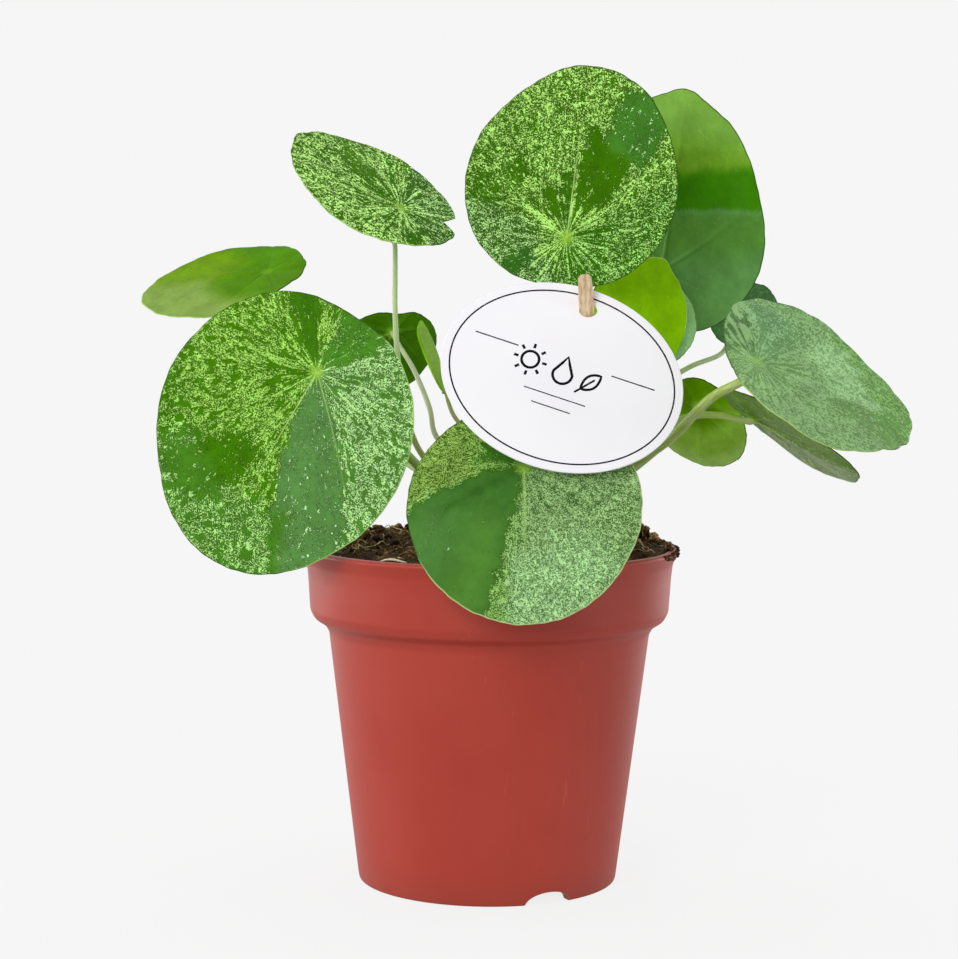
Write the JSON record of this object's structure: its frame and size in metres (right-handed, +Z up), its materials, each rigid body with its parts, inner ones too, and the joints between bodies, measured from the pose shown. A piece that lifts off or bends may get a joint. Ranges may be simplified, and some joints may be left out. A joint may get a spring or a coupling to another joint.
{
  "type": "potted pilea plant",
  "caption": "Potted pilea: round variegated and plain leaves on long petioles, short stem, soil, tapered plastic nursery pot, and an oval label card on a wooden stick.",
  "frame": {"origin": "middle of the pot's foot ring, on the surface that the pot stands on, which is the bottom centre of the whole within 2 mm", "axes": "+Z up; -Y is the front, where the label card faces"},
  "size_m": [0.2468, 0.1909, 0.2591],
  "materials": {
    "pot_plastic": "moulded terracotta-red plastic, satin",
    "potting_soil": "dark brown fibrous peat soil, matte",
    "stem_bark": "green-brown bark with leaf scars, matte",
    "leaf_variegated": "fleshy leaf, green with pale speckles, low gloss",
    "leaf_plain": "fleshy leaf, plain green, low gloss",
    "leaf_stalk": "smooth pale green stalk, low gloss",
    "card_board": "white coated card, matte",
    "stick_wood": "bare pale wood, matte"
  },
  "bodies": {
    "root": {"pot": "pot_plastic", "soil": "potting_soil", "main_stem": "stem_bark", "leaf_a": "leaf_variegated", "petiole_a": "leaf_stalk", "leaf_b": "leaf_variegated", "petiole_b": "leaf_stalk", "leaf_c": "leaf_plain", "petiole_c": "leaf_stalk", "leaf_d": "leaf_variegated", "petiole_d": "leaf_stalk", "leaf_f": "leaf_plain", "petiole_f": "leaf_stalk", "leaf_g": "leaf_variegated", "petiole_g": "leaf_stalk", "leaf_h": "leaf_plain", "petiole_h": "leaf_stalk", "leaf_i": "leaf_plain", "petiole_i": "leaf_stalk", "leaf_j": "leaf_plain", "petiole_j": "leaf_stalk", "leaf_k": "leaf_variegated", "petiole_k": "leaf_stalk", "leaf_l": "leaf_plain", "petiole_l": "leaf_stalk", "leaf_m": "leaf_plain", "petiole_m": "leaf_stalk", "leaf_n": "leaf_plain", "petiole_n": "leaf_stalk", "leaf_p": "leaf_plain", "petiole_p": "leaf_stalk", "label_card": "card_board", "label_stick": "stick_wood"}
  },
  "joints": []
}
